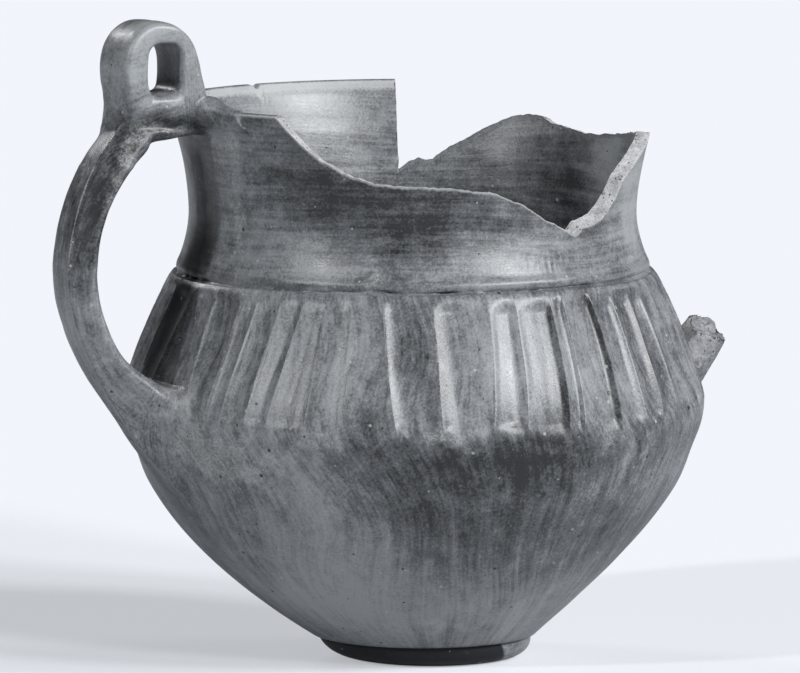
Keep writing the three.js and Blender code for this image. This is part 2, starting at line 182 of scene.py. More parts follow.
gloss = add_node(clay, "Math", fine_strokes, 0.2, 0.14, operation="MULTIPLY_ADD")
gloss = add_node(clay, "Math", mottle, 0.3, gloss, operation="MULTIPLY_ADD")
gloss = add_node(clay, "Math", pale_share, 0.5, gloss, operation="MULTIPLY_ADD")
relief = add_node(clay, "Math", fine_strokes, 0.3, 0.0, operation="MULTIPLY_ADD")
for pattern, weight in ((grain, 0.4), (mottle, 0.7), (pale_share, 0.3), (pits, -1.0)):
    relief = add_node(clay, "Math", pattern, weight, relief, operation="MULTIPLY_ADD")
bump = add_node(clay, "Bump", Strength=0.55, Distance=0.3 * MM, Height=relief)
# Painted shade: where the clouds are darkest the gleam is turned down, so the painted shadows stay black.
shine_dulled_in_painted_shade = add_node(clay, "MapRange", cloud, -1.5, -0.7, 0.08, 0.5)
surface = add_node(
    clay,
    "BsdfPrincipled",
    Base_Color=colour,
    Roughness=gloss,
    IOR=1.5,
    Specular_IOR_Level=shine_dulled_in_painted_shade,
    Normal=bump,
)
add_node(clay, "OutputMaterial", surface)

# Clouds of the smoke and strokes of the pebble that show in the photograph, some of them painted
# light and shade as marked, and crusts of lime: the middle in millimetres, how far they reach to the
# side and up, and how pale or strong they are.
CLOUDS = [
    ((-5, -110, 74), 50, 26, -0.4),
    ((-56, -100, 84), 20, 22, -0.35),
    ((-92, -70, 84), 16, 22, 0.3),
    ((-104, -50, 80), 20, 24, 0.2),
    # Paler low on the front of the bowl, towards the foot.
    ((-80, -60, 46), 30, 26, 0.5),
    ((-25, -66, 26), 50, 20, 0.75),
    ((-64, -28, 28), 24, 18, 0.7),
    ((30, -66, 24), 40, 16, 0.2),
    ((60, -62, 42), 34, 30, -0.3),
    ((-20, -111, 138), 16, 28, 0.55),
    ((25, -110, 132), 18, 24, 0.3),
    ((-54, -98, 140), 14, 24, -0.3),
    ((58, -101, 125), 15, 26, -0.4),
    ((84, -84, 122), 16, 24, 0.5),
    ((-116, -27, 118), 18, 16, 0.35),
    # Painted shadow: the strap's shadow on the neck and on the flutes under the handle, painted near
    # black.
    ((-92, 12, 195), 12, 44, -2),
    ((-101, 12, 160), 9, 10, -1.6),
    ((-110, 14, 142), 10, 24, -1.6),
    ((-75, -55, 205), 26, 18, -0.45),
    ((-40, -86, 196), 34, 12, -0.45),
    ((-45, -81, 180), 26, 16, -0.35),
    # Painted highlight on the neck's right side.
    ((66, -70, 178), 14, 14, 0.5),
    ((5, -92, 193), 34, 8, -0.3),
    ((-85, -30, 190), 16, 26, 0.25),
    ((20, -96, 176), 40, 6, 0.3),
    # Painted highlight on the neck's right side, below the break.
    ((70, -66, 190), 20, 26, 0.6),
    # Painted light and shade inside the neck: a pale pool of light on the inside wall by the right-hand
    # break, a dark painted shadow beside it, and a pale pool of light on the inside wall at the back.
    ((91, -10, 210), 16, 20, 1.0),
    ((86, 16, 195), 14, 26, -0.6),
    ((-9, 95, 226), 27, 12, 1.0),
]
CLOUDS_UNDER_THE_SHOULDER = [
    ((-40, -112, 98), 44, 14, -0.4),
    ((10, -118, 96), 44, 18, -0.1),
    ((55, -108, 97), 40, 16, -0.25),
    ((92, -78, 100), 34, 10, -0.35),
]
CRUSTS = [
    ((-117, -30, 98), 17, 13, 0.9),
    ((-106, -56, 94), 22, 12, 0.75),
    ((-84, -90, 104), 16, 5, 0.6),
    ((-48, -112, 107), 14, 4, 0.6),
    ((-95, -22, 220), 9, 10, 0.8),
    ((-92, -19, 190), 9, 18, 0.6),
    ((-78, -53, 180), 10, 3, 0.6),
    ((-60, -80, 168), 10, 2.5, 0.7),
    ((40, -112, 101), 30, 7, 0.5),
    ((90, -75, 104), 22, 8, 0.4),
    ((-25, -62, 20), 16, 5, 0.6),
    ((-125, -12, 120), 14, 14, 0.6),
    ((-60, -40, 118), 60, 3, 0.3),
]
# The hand-built wall stands in and out in swellings: how wide each kind is and how high, in millimetres
SWELLINGS = ((42, 0.6, 0), (14, 0.2, 300))


def marks_at(marks, point):
    """Adds up the soft, ragged patches at a point."""
    total = 0
    for middle, reach, rise, strength in marks:
        off = point - Vector(middle)
        off += 0.3 * reach * noise.noise_vector(point / (0.7 * reach))
        far = (off.x * off.x + off.y * off.y) / (reach * reach) + (off.z / rise) ** 2
        total += strength * math.exp(-far)
    return total


def smoke_and_painted_light_at(point):
    """The clouds outside on the body, smoke with painted light and shade among them. Some of them end
    within 4 mm at the edge under the shoulder.
    """
    ends = max(0, min(1, (CARINATION + 1.2 * noise.noise(point / 7) - point.z) / 4))
    return marks_at(CLOUDS, point) + ends * marks_at(CLOUDS_UNDER_THE_SHOULDER, point)


def unevenness(x, y, z):
    """How far the hand-built wall stands out or in at a place."""
    return sum(
        height * noise.noise(Vector((x + elsewhere, y, z)) / width)
        for width, height, elsewhere in SWELLINGS
    )


def body_point(azimuth, radius, z, extra=0.0):
    """A point of the pot's wall. The foot, and less of what lies above it, sits a little to one side."""
    turn = math.radians(azimuth)
    x, y = radius * math.cos(turn), radius * math.sin(turn)
    out = radius + (unevenness(x, y, z) + extra) * min(1, radius / 40)
    shift = FOOT_SHIFT * max(0, 1 - z / FOOT_SHIFT_HEIGHT) ** 3
    x = out * math.cos(turn) + shift * math.cos(FOOT_SHIFT_AZIMUTH)
    y = out * math.sin(turn) + shift * math.sin(FOOT_SHIFT_AZIMUTH)
    return Vector((x, y, z))


def rubbed(azimuth, z, along_wall):
    """Where a point lies in the pattern of strokes, which run down the wall or round it. The pattern is
    drawn out along the strokes, and they lean and wander a little."""
    turn = math.radians(azimuth)
    spot = Vector((math.cos(turn), math.sin(turn), z / 60))
    if along_wall:
        turn += 0.12 * noise.noise(spot * 1.3) + 0.0012 * z
    round_, up = (1, 0.1) if along_wall else (0.06, 1)
    across = 100 * round_
    height = up * (z + 6 * noise.noise(spot))
    return Vector((across * math.cos(turn), across * math.sin(turn), height)) * MM


def steps(start, end, count):
    return [start + (end - start) * i / count for i in range(count + 1)]


def bent_grid(columns, rows, place_at):
    """Bends a flat grid into a closed skin. place_at gives the point of a column and a row, and what
    its vertex carries for the material."""
    mesh = bmesh.new()
    bmesh.ops.create_grid(mesh, x_segments=columns, y_segments=rows, size=1)
    layers = {name: mesh.verts.layers.float.new(name) for name in ("cloud", "crust", "wear", "broken")}
    layers["strokes"] = mesh.verts.layers.float_vector.new("strokes")
    for vertex in mesh.verts:
        column = round((vertex.co.x + 1) / 2 * columns) % columns
        row = round((vertex.co.y + 1) / 2 * rows)
        point, carried = place_at(column, row)
        for name, marks in (("cloud", CLOUDS), ("crust", CRUSTS)):
            if name not in carried:
                carried[name] = marks_at(marks, point)
        for name, value in carried.items():
            vertex[layers[name]] = value
        vertex.co = point * MM
    bmesh.ops.remove_doubles(mesh, verts=mesh.verts, dist=1e-3 * MM)
    if mesh.calc_volume(signed=True) < 0:
        bmesh.ops.reverse_faces(mesh, faces=mesh.faces)
    return mesh


def new_piece(name, mesh, materials, sharp_from):
    """Makes the piece of a finished mesh: smooth, but for edges that turn more than sharp_from degrees.
    Its second material is for the faces whose corners are all broken."""
    broken = mesh.verts.layers.float.get("broken")
    for face in mesh.faces:
        face.smooth = True
        if broken and len(materials) > 1:
            face.material_index = int(min(vertex[broken] for vertex in face.verts) > 0.5)
    for edge in mesh.edges:
        edge.smooth = edge.calc_face_angle(0) < math.radians(sharp_from)
    data = bpy.data.meshes.new(name)
    mesh.to_mesh(data)
    mesh.free()
    for material in materials:
        data.materials.append(material)
    piece = bpy.data.objects.new(name, data)
    bpy.context.scene.collection.objects.link(piece)
    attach(piece, "root")
    return piece


foot_rows = [(0, 0)]
for angle in steps(0, math.pi / 2, FOOT_ROUND_ROWS):
    radius = FOOT_FLAT_RADIUS + (FOOT_RADIUS - FOOT_FLAT_RADIUS) * math.sin(angle)
    foot_rows.append((radius, FOOT_TOP * (1 - math.cos(angle))))
foot_rows.append((0, FOOT_TOP))


def smooth_step(value, low, high):
    share = min(1, max(0, (value - low) / (high - low)))
    return share * share * (3 - 2 * share)


def foot_place(column, row):
    azimuth = 360 * column / ROUND_COLUMNS
    radius, z = foot_rows[row]
    from_lit_part = abs((azimuth - LIT_FOOT_AZIMUTH + 180) % 360 - 180)
    # Painted shadow: the foot is painted near black, but for its lit part on the right.
    painted_shadow = smooth_step(from_lit_part - LIT_FOOT_REACH - 0.6 * z, -3, 3)
    carried = {"strokes": rubbed(azimuth, z, False), "cloud": -3 * painted_shadow, "crust": 0}
    return body_point(azimuth, radius, z), carried


foot = new_piece("foot", bent_grid(ROUND_COLUMNS, len(foot_rows) - 1, foot_place), [clay], 50)
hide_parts("foot_disc")

# Bowl
# The deep lower body, coiled up from the foot's disc, thinned by scraping and burnished with strokes
# that run down the wall. Inside it is wiped round with a wet hand.
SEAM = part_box("bowl_wall")[1].z / MM
CARINATION = 109
BOWL_BASE_RADIUS = 47
CARINATION_RADIUS = 121.8
BOWL_SWELL = 1.82
BOWL_FLATTER_BY = 1.2
BOWL_FLATTER_AT = 88
BOWL_FLATTER_OVER = 9
WALL = 6.5
FLOOR = 5
BOWL_ROWS_OUTSIDE = 80
BOWL_ROWS_INSIDE = 50
WIPING_DEPTH = 0.3
WIPING_SPACING = 4.5


def bowl_radius(z):
    left = max(0, 1 - (z - FOOT_TOP) / (CARINATION - FOOT_TOP))
    flat = BOWL_FLATTER_BY * math.exp(-(((z - BOWL_FLATTER_AT) / BOWL_FLATTER_OVER) ** 2))
    return CARINATION_RADIUS - (CARINATION_RADIUS - BOWL_BASE_RADIUS) * left**BOWL_SWELL - flat


def inner_radius(outline, z, wall):
    """The inside of a wall whose thickness is measured square to its outline."""
    slope = outline(z + 0.5) - outline(z - 0.5)
    return outline(z) - wall * math.hypot(1, slope)


def wiping(azimuth, radius, z):
    """Shallow grooves that wet fingers left as they ran round the inside."""
    turn = math.radians(azimuth)
    x, y = radius * math.cos(turn) / 60, radius * math.sin(turn) / 60
    return WIPING_DEPTH * noise.noise(Vector((x, y, z / WIPING_SPACING)))


bowl_rows = [("axis", FOOT_TOP)]
bowl_rows += [("outside", z) for z in steps(FOOT_TOP, SEAM, BOWL_ROWS_OUTSIDE)]
bowl_rows += [("inside", z) for z in steps(SEAM, FOOT_TOP + FLOOR, BOWL_ROWS_INSIDE)]
bowl_rows += [("axis", FOOT_TOP + FLOOR)]


def bowl_place(column, row):
    azimuth = 360 * column / ROUND_COLUMNS
    side, z = bowl_rows[row]
    carried = {"strokes": rubbed(azimuth, z, side == "outside")}
    if side == "axis":
        return body_point(0, 0, z), carried
    if side == "outside":
        point = body_point(azimuth, bowl_radius(z), z)
        return point, carried | {"cloud": smoke_and_painted_light_at(point)}
    radius = inner_radius(bowl_radius, z, WALL)
    groove = wiping(azimuth, radius, z) * min(1, (SEAM - z) / 5)
    return body_point(azimuth, radius, z, groove), carried


bowl = new_piece("bowl", bent_grid(ROUND_COLUMNS, len(bowl_rows) - 1, bowl_place), [clay], 50)
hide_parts("bowl_wall")

# Fluted shoulder
# A conical ring luted onto the bowl. Before it dried, wide hollow flutes were drawn down it side by
# side with a rounded tool, each deepest towards one side, with a sharp arris left between two.
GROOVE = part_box("neck_wall")[0].z / MM
SHOULDER_TOP_RADIUS = 101.2
SHOULDER_SWELL = 1.3
FLUTE_COLUMNS = 18
SHOULDER_ROWS_INSIDE = 14

# The flutes that face the handle's side, as the photograph shows them: the azimuth of each one's left
# arris at the top and at the bottom, its depth, how far across it is deepest, and how worn its arrises are
SEEN_FLUTES = [
    (-191, -192, 1.7, 0.5, 0.1),
    (-180, -186, 1.9, 0.5, 0.1),
    (-170, -169.5, 1.4, 0.45, 0.2),
    (-161.3, -163.6, 0.8, 0.6, 0.4),
    (-156.6, -159.5, 0.9, 0.5, 0.35),
    (-150.2, -153.4, 1.0, 0.65, 0.3),
    (-144.6, -148.6, 0.8, 0.5, 0.4),
    (-138.6, -140.4, 1.0, 0.6, 0.35),
    (-132.8, -132.4, 0.7, 0.5, 0.45),
    (-125.6, -122.3, 2.0, 0.27, 0.12),
    (-114.3, -113.2, 2.1, 0.3, 0.12),
    (-101.2, -103.4, 2.1, 0.72, 0.08),
    (-95.2, -96.2, 1.9, 0.82, 0.12),
    (-86.2, -87.2, 1.5, 0.75, 0.1),
    (-83.0, -83.8, 2.3, 0.87, 0.04),
    (-74.0, -74.4, 1.9, 0.7, 0.08),
    (-67.2, -67, 1.8, 0.62, 0.12),
    (-60.6, -61.4, 1.6, 0.6, 0.12),
    (-55.5, -55.2, 1.9, 0.6, 0.1),
    (-48.4, -48.2, 1.8, 0.55, 0.12),
    (-41.6, -42.6, 1.7, 0.5, 0.12),
    (-34.6, -35.4, 1.8, 0.5, 0.12),
]
HIDDEN_FLUTES = 20
HIDDEN_FROM = -27.5
FLUTE_RUN_OUT = 8
ARRIS_HEIGHT = 0.2
# Painted shade: how much darker the narrow steep corner of the deepest flutes is painted
SHADE_PAINTED_IN_CORNERS = 0.7

dice = random.Random(7)
hidden_width = (SEEN_FLUTES[0][0] + 360 - HIDDEN_FROM) / HIDDEN_FLUTES
flutes = list(SEEN_FLUTES)
for i in range(HIDDEN_FLUTES):
    top_azimuth = HIDDEN_FROM + hidden_width * (i + dice.uniform(-0.12, 0.12))
    bottom_azimuth = top_azimuth + dice.uniform(-2, 2)
    depth, deepest = dice.uniform(1.5, 2.2), dice.uniform(0.4, 0.75)
    flutes.append((top_azimuth, bottom_azimuth, depth, deepest, dice.uniform(0.05, 0.2)))
flute_ends = [(dice.uniform(161, 164), dice.uniform(102.5, 106)) for _ in flutes]


def shoulder_radius(z):
    up = max(0, (z - CARINATION) / (GROOVE - CARINATION))
    return CARINATION_RADIUS - (CARINATION_RADIUS - SHOULDER_TOP_RADIUS) * up**SHOULDER_SWELL


def body_outline(z):
    return shoulder_radius(z) if z > CARINATION else bowl_radius(z)


def arris_azimuth(number, z):
    """Where a flute's left arris runs at a height. It wanders a little, as a hand does."""
    top, bottom = flutes[number % len(flutes)][:2]
    down = min(1, max(0, (GROOVE - z) / (GROOVE - CARINATION)))
    wander = 0.5 * noise.noise(Vector((number % len(flutes) * 7.3, z / 30, 0)))
    return top + (bottom - top) * down**1.3 + wander + 360 * (number // len(flutes))


def flute_cut(azimuth, z):
    """How deep the flutes are cut at a place, how close it is to an arris, and whether it lies in the
    narrow steep corner of a flute, which is painted darker as shade."""
    first = arris_azimuth(0, z)
    azimuth = (azimuth - first) % 360 + first
    number = 0
    while arris_azimuth(number + 1, z) <= azimuth:
        number += 1
    left, right = arris_azimuth(number, z), arris_azimuth(number + 1, z)
    across = (azimuth - left) / (right - left)
    depth, deepest, worn = flutes[number][2:]
    from_deepest = 1 - across / deepest if across < deepest else (across - deepest) / (1 - deepest)
    hollow = 1 - from_deepest**1.6
    top_end, bottom_end = flute_ends[number]
    run = smooth_step(top_end - z, 0, FLUTE_RUN_OUT) * smooth_step(z - bottom_end, 0, FLUTE_RUN_OUT)
    hollow += 0.35 * (run - 1)
    hollow = (hollow + math.sqrt(hollow * hollow + worn * worn)) / 2 * run
    tool = 0.22 * noise.noise(Vector((number * 5.1, across * 7, z / 35)))
    arris = max(0, 1 - 9 * min(across, 1 - across)) * run * max(0, 1 - 2.5 * worn)
    # Painted shade in the narrow steep corner of the deepest flutes
    corner = run * smooth_step(deepest, 0.7, 0.85) * smooth_step(across, deepest - 0.08, deepest + 0.04)
    return depth * hollow + tool * run, arris, corner


def groove_cut(azimuth, z):
    """A line drawn round under the neck: a soft hollow at the handle's side, that turns to a thin cut."""
    turn = math.radians(azimuth)
    round_ = Vector((math.cos(turn), math.sin(turn), 0)) * 3
    off = z - GROOVE - 0.8 - 0.9 * noise.noise(round_) - 0.35 * noise.noise(round_ * 6)
    pressed = 1 + 0.6 * noise.noise(round_ * 1.5 + Vector((0, 0, 9)))
    soft = math.exp(-(((azimuth + 158) / 26) ** 2)) + 0.8 * math.exp(-(((azimuth + 55) / 24) ** 2))
    uneven = max(0.25, 1 + 1.3 * noise.noise(round_ * 5 + Vector((0, 0, 5))))
    thin_line = uneven * (1.5 - 1.3 * soft) * math.exp(-((off / 0.5) ** 2))
    return pressed * (thin_line + (0.6 + 0.9 * soft) * math.exp(-((off / 1.9) ** 2)))


# Closer rows where the flutes run out
shoulder_rows = [("outside", SEAM)]
for start, end, count in ((SEAM, 118, 24), (118, 152, 26), (152, GROOVE, 28)):
    shoulder_rows += [("outside", z) for z in steps(start, end, count)[1:]]
shoulder_rows += [("inside", z) for z in steps(GROOVE, SEAM, SHOULDER_ROWS_INSIDE)]
shoulder_rows += [shoulder_rows[0]]


def shoulder_place(column, row):
    """The columns stand closer together beside the arrises."""
    side, z = shoulder_rows[row]
    number = column // FLUTE_COLUMNS
    left, right = arris_azimuth(number, z), arris_azimuth(number + 1, z)
    across = (column % FLUTE_COLUMNS) / FLUTE_COLUMNS
    across -= 0.11 * math.sin(2 * math.pi * across)
    azimuth = left + (right - left) * across
    if side == "inside":
        radius = inner_radius(body_outline, z, WALL)
        return body_point(azimuth, radius, z), {"strokes": rubbed(azimuth, z, False)}
    cut, arris, corner = flute_cut(azimuth, z)
    raised = ARRIS_HEIGHT * arris - cut - groove_cut(azimuth, z)
    point = body_point(azimuth, body_outline(z), z, raised)
    carried = {"strokes": rubbed(azimuth, z, True), "cloud": smoke_and_painted_light_at(point) - SHADE_PAINTED_IN_CORNERS * corner}
    return point, carried | {"wear": 0.4 * arris * (1 - corner)}


shoulder_mesh = bent_grid(FLUTE_COLUMNS * len(flutes), len(shoulder_rows) - 1, shoulder_place)
shoulder = new_piece("fluted_shoulder_ring", shoulder_mesh, [clay], 60)
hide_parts("fluted_shoulder")

# Neck
# A flaring ring luted into the shoulder, wiped round with a wet cloth while it turned. Its thin lip
# is left only beside the handle and behind it, and the rest has broken away in long slanting breaks.
WAIST = 187
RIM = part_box("neck_wall")[1].z / MM
NECK_BASE_RADIUS = 100.2
WAIST_RADIUS = 93.4
RIM_RADIUS = 103
RIM_WALL = 5
LIP = 1.8
NECK_ROWS_OUTSIDE = 46
NECK_ROWS_BROKEN = 8
NECK_ROWS_INSIDE = 34
CORE_PALE = "#c0c1c2"
CORE_GREY = "#85868a"
CORE_STAIN = "#55575a"
GRIT_DARK = "#3c3d3f"

# The top edge as it is now: azimuth, height, and how much higher the inside of the break stands
EDGE = [
    (-152, 234, 0),
    (-150.5, 230.2, -0.5),
    (-148.5, 225.8, -0.7),
    (-145, 220.2, -0.8),
    (-142.4, 216.9, -0.8),
    (-140, 214.7, -0.6),
    (-136.6, 211.6, -0.5),
    (-133.9, 209.6, -0.5),
    (-129.2, 207.1, -0.4),
    (-125.3, 206.1, -0.3),
    (-119.7, 205.4, -0.3),
    (-114.8, 205.5, -0.3),
    (-110.4, 204.8, -0.3),
    (-105.2, 203.9, -0.3),
    (-99.8, 202.9, -0.3),
    (-97.4, 201.8, -0.3),
    (-93.8, 199.1, -0.3),
    (-90.6, 197.3, -0.3),
    (-88.5, 195.4, -0.3),
    (-85.4, 192.0, -0.2),
    (-82.9, 189.6, 0),
    (-78, 186.6, 0.6),
    (-75.2, 184.2, 1.2),
    (-73.6, 182.9, 1.8),
    (-70.9, 185.8, 2.2),
    (-67.4, 186.6, 2.4),
    (-63.3, 188.1, 2.4),
    (-59.6, 192.2, 2.2),
    (-56.4, 197.1, 2),
    (-53.4, 203.4, 1.6),
    (-50.1, 206.4, 1.6),
    (-47.1, 209.1, 1.6),
    (-43, 211.3, 1.4),
    (-39.1, 214.6, 1.2),
    (-33.6, 217.6, 0.8),
    (-31, 219.9, 0.6),
    (-25, 218.4, 0.5),
    (-15.8, 217.2, 0.5),
    (-7.7, 215.6, 0.5),
    (4.2, 213.2, 1.4),
    (8.5, 213.2, 1.4),
    (13.2, 214.2, 1.4),
    (18.2, 215.4, 1.4),
    (21.6, 216.2, 1.4),
    (24.5, 218.6, 1.4),
    (29, 219.3, 1.4),
    (33.2, 218.3, 1.4),
    (36.7, 216.4, 1.4),
    (41.8, 212.3, 1.4),
    (45.4, 208.8, 1.4),
    (50.6, 204.8, 1.4),
    (53.6, 201.6, 1.4),
    (55.5, 199.3, 1.4),
    (57.4, 199.0, 1.4),
    (59.4, 199.7, 1.4),
    (62.3, 198.0, 1.4),
    (64.6, 195.8, 1.0),
    (65.1, 196.2, 0.2),
    (65.5, 234, 0),
]
STEP_FROM = 65.1
STEP_TO = 65.5
STEP_COLUMNS = 26
NICK_AZIMUTH = 104
NICK_WIDTH = 0.9
NICK_DEPTH = 1.6
CRACK_LEAN = 2.6
CRACK_HEIGHT = 8
CRACK_WIDTH = 0.35
CRACK_DEPTH = 0.7

# The clay's core, where the wall has broken: pale, dull and rough, with dark grit in it.
core = new_material("broken clay core with grit")
place = add_node(core, "TexCoord", gives="Object")
patches = add_node(core, "TexNoise", place, Scale=1 / (6 * MM), Detail=3, Roughness=0.6)
crumbs = add_node(core, "TexNoise", place, Scale=1 / (0.9 * MM), Detail=3, Roughness=0.7)
grit_cells = add_node(core, "TexVoronoi", place, Scale=1 / (2.4 * MM), gives="Distance")
grit_size = add_node(core, "Math", patches, 0.25, grit_cells, operation="MULTIPLY_ADD")
grit = add_node(core, "MapRange", grit_size, 0.27, 0.34, 0.85, 0.0, interpolation_type="SMOOTHSTEP")
stained = add_node(core, "Attribute", gives="Fac", attribute_name="cloud")
shade = add_node(core, "Math", patches, crumbs, operation="ADD")
shade = add_node(core, "Math", stained, 0.8, shade, operation="MULTIPLY_ADD")
shade = add_node(core, "MapRange", shade, 0.7, 1.3)
colour = add_node(core, "MixRGB", shade, linear(CORE_GREY), linear(CORE_PALE))
stains = add_node(core, "TexNoise", place, Scale=1 / (7 * MM), Detail=3, Roughness=0.6)
stains = add_node(core, "Math", stained, -0.25, stains, operation="MULTIPLY_ADD")
stains = add_node(core, "MapRange", stains, 0.55, 0.75, 0.0, 0.8, interpolation_type="SMOOTHSTEP")
colour = add_node(core, "MixRGB", stains, colour, linear(CORE_STAIN))
colour = add_node(core, "MixRGB", grit, colour, linear(GRIT_DARK))
relief = add_node(core, "Math", grit, -0.7, crumbs, operation="MULTIPLY_ADD")
bump = add_node(core, "Bump", Strength=0.8, Distance=0.5 * MM, Height=relief)
surface = add_node(core, "BsdfPrincipled", Base_Color=colour, Roughness=0.95, IOR=1.5, Normal=bump)
add_node(core, "OutputMaterial", surface)


def neck_radius(z):
    if z < WAIST:
        down = (WAIST - z) / (WAIST - GROOVE)
        return WAIST_RADIUS + (NECK_BASE_RADIUS - WAIST_RADIUS) * down**1.8
    up = (z - WAIST) / (RIM - WAIST)
    return WAIST_RADIUS + (RIM_RADIUS - WAIST_RADIUS) * up**1.7


def neck_wall_at(z):
    return WALL + (RIM_WALL - WALL) * min(1, max(0, (z - WAIST) / (RIM - WAIST)))


def neck_edge(azimuth):
    """Height of the top edge, rise of the break towards the inside, and whether it is broken."""
    if azimuth <= EDGE[0][0] or azimuth >= EDGE[-1][0]:
        nick = NICK_DEPTH * math.exp(-(((azimuth - NICK_AZIMUTH) / NICK_WIDTH) ** 2))
        return RIM - nick, 0, False
    following = next(i for i, point in enumerate(EDGE) if point[0] > azimuth)
    a, b = EDGE[following - 1], EDGE[following]
    share = (azimuth - a[0]) / (b[0] - a[0])
    turn = math.radians(azimuth)
    spot = Vector((math.cos(turn), math.sin(turn), 0))
    chips = 0 if a[0] >= STEP_FROM else 0.45 * noise.noise(spot * 16) + 0.4 * noise.noise(spot * 44)
    return a[1] + (b[1] - a[1]) * share + chips, a[2] + (b[2] - a[2]) * share, True


neck_azimuths = [-180 + 0.5 * i for i in range(720)]
neck_azimuths = [a for a in neck_azimuths if not STEP_FROM - 0.3 < a < STEP_TO + 0.3]
neck_azimuths += steps(STEP_FROM, STEP_TO, STEP_COLUMNS) + [STEP_FROM - 0.25, STEP_TO + 0.25]
neck_azimuths += [NICK_AZIMUTH + 0.1 + 0.2 * i for i in range(-12, 12) if i % 5]
neck_azimuths.sort()
neck_row_count = NECK_ROWS_OUTSIDE + NECK_ROWS_BROKEN + NECK_ROWS_INSIDE


def neck_swelling(azimuth, z):
    """The neck's foot has a soft roll above the groove, plainest in front, with upright dents."""
    in_front = math.exp(-(((azimuth + 98) / 26) ** 2))
    roll = (0.25 + 0.6 * in_front) * math.exp(-(((z - GROOVE - 4) / 2) ** 2))
    tool = max(0, noise.noise(Vector((azimuth / 0.9, z / 9, 4)))) * math.exp(-(((azimuth + 86) / 9) ** 2))
    return roll - 0.7 * tool * math.exp(-(((z - GROOVE - 12) / 4) ** 2)) - groove_cut(azimuth, z)


def neck_place(column, row):
    """The rows run up the outside, over the lip or the break, and down the inside."""
    azimuth = neck_azimuths[column]
    top, rise, is_broken = neck_edge(azimuth)
    turn = math.radians(azimuth)
    lip = 0 if is_broken else LIP
    strokes = {"strokes": rubbed(azimuth, 0, False)}
    if row == neck_row_count + 1:
        row = 0
    if row <= NECK_ROWS_OUTSIDE:
        z = GROOVE + (top - lip - GROOVE) * (row / NECK_ROWS_OUTSIDE) ** 1.25
        wear = 0.8 * math.exp(-(top - z) / 0.8)
        carried = {"wear": wear, "strokes": rubbed(azimuth, z, False), "broken": row == NECK_ROWS_OUTSIDE}
        return body_point(azimuth, neck_radius(z), z, neck_swelling(azimuth, z)), carried
    row -= NECK_ROWS_OUTSIDE
    outer, inner = neck_radius(top), inner_radius(neck_radius, top + rise, neck_wall_at(top))
    if row <= NECK_ROWS_BROKEN:
        share = row / NECK_ROWS_BROKEN
        if not is_broken:
            bend = math.pi * share
            radius = (outer + inner) / 2 + (outer - inner) / 2 * math.cos(bend)
            strokes["wear"] = 1.1 * abs(math.cos(bend)) ** 3
            return body_point(azimuth, radius, top - LIP + LIP * math.sin(bend) ** 0.7), strokes
        radius = outer + (inner - outer) * share
        z = top + rise * share
        spot = Vector((radius * math.cos(turn), radius * math.sin(turn), z))
        rough = 0.5 * noise.noise(spot / 2.2) + 0.6 * noise.noise(spot / 5)
        rough *= math.sin(math.pi * share)
        strokes["broken"] = 1
        strokes["cloud"] = 0
        if STEP_FROM < azimuth < STEP_TO:
            return body_point(azimuth + math.degrees(rough / radius), radius, z), strokes
        return body_point(azimuth, radius, z + rough), strokes
    row -= NECK_ROWS_BROKEN
    start = top + rise - lip
    z = start + (GROOVE - start) * (row / NECK_ROWS_INSIDE) ** 0.85
    radius = inner_radius(neck_radius, z, neck_wall_at(z))
    near_edge = math.exp(-(start - z) / 1.5)
    crack_at = NICK_AZIMUTH - CRACK_LEAN * (RIM - z) / CRACK_HEIGHT
    crack = math.exp(-(((azimuth - crack_at) / CRACK_WIDTH) ** 2))
    crack *= smooth_step(z, RIM - CRACK_HEIGHT, RIM)
    groove = wiping(azimuth, radius, z) * (1 - near_edge) + CRACK_DEPTH * crack
    spot = body_point(azimuth, radius, z, groove)
    carried = {"wear": 0.4 * near_edge - 2 * crack, "strokes": rubbed(azimuth, z, False)}
    carried["cloud"] = marks_at(CLOUDS, spot) - crack
    return spot, carried


neck_mesh = bent_grid(len(neck_azimuths), neck_row_count + 1, neck_place)
neck = new_piece("neck", neck_mesh, [clay, core], 45)
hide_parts("neck_wall")

# Strap handle and its eye
# A strap rolled by hand, with a ridge down its back, luted to the rim and to the shoulder, where the
# clay is smeared out over the wall. An upright loop, pierced from side to side, sits on its top.
HANDLE_REACH = 60.2
HANDLE_BULGE_HEIGHT = 171.5
HANDLE_ROOT_HEIGHT = 86
HANDLE_WIDTH = 28
HANDLE_THICKNESS = 10.8
HANDLE_RIM_WIDTH = 22
HANDLE_ROOT_WIDTH = 44
RIDGE_HEIGHT = 0.7
RIDGE_BREADTH = 0.9
RIDGE_FROM = 2.6
RIDGE_TO = 8.6
RIDGE_POINTS = 400
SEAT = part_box("handle_eye")[0].z / MM
SEAT_CUT = SEAT + 1.3
SECTION_COLUMNS = 64
STRAP_ROWS = 170
CLAY_VOXEL = 0.55 * MM
SMEAR_ROOT = 12
SMEAR_RIM = 4
SUNK_ROOT = 3
SUNK_RIM = 2.5
NEAR_WALL = 22
STRAP_BEND = (105, 160)
STRAP_BEND_RADIUS = 60

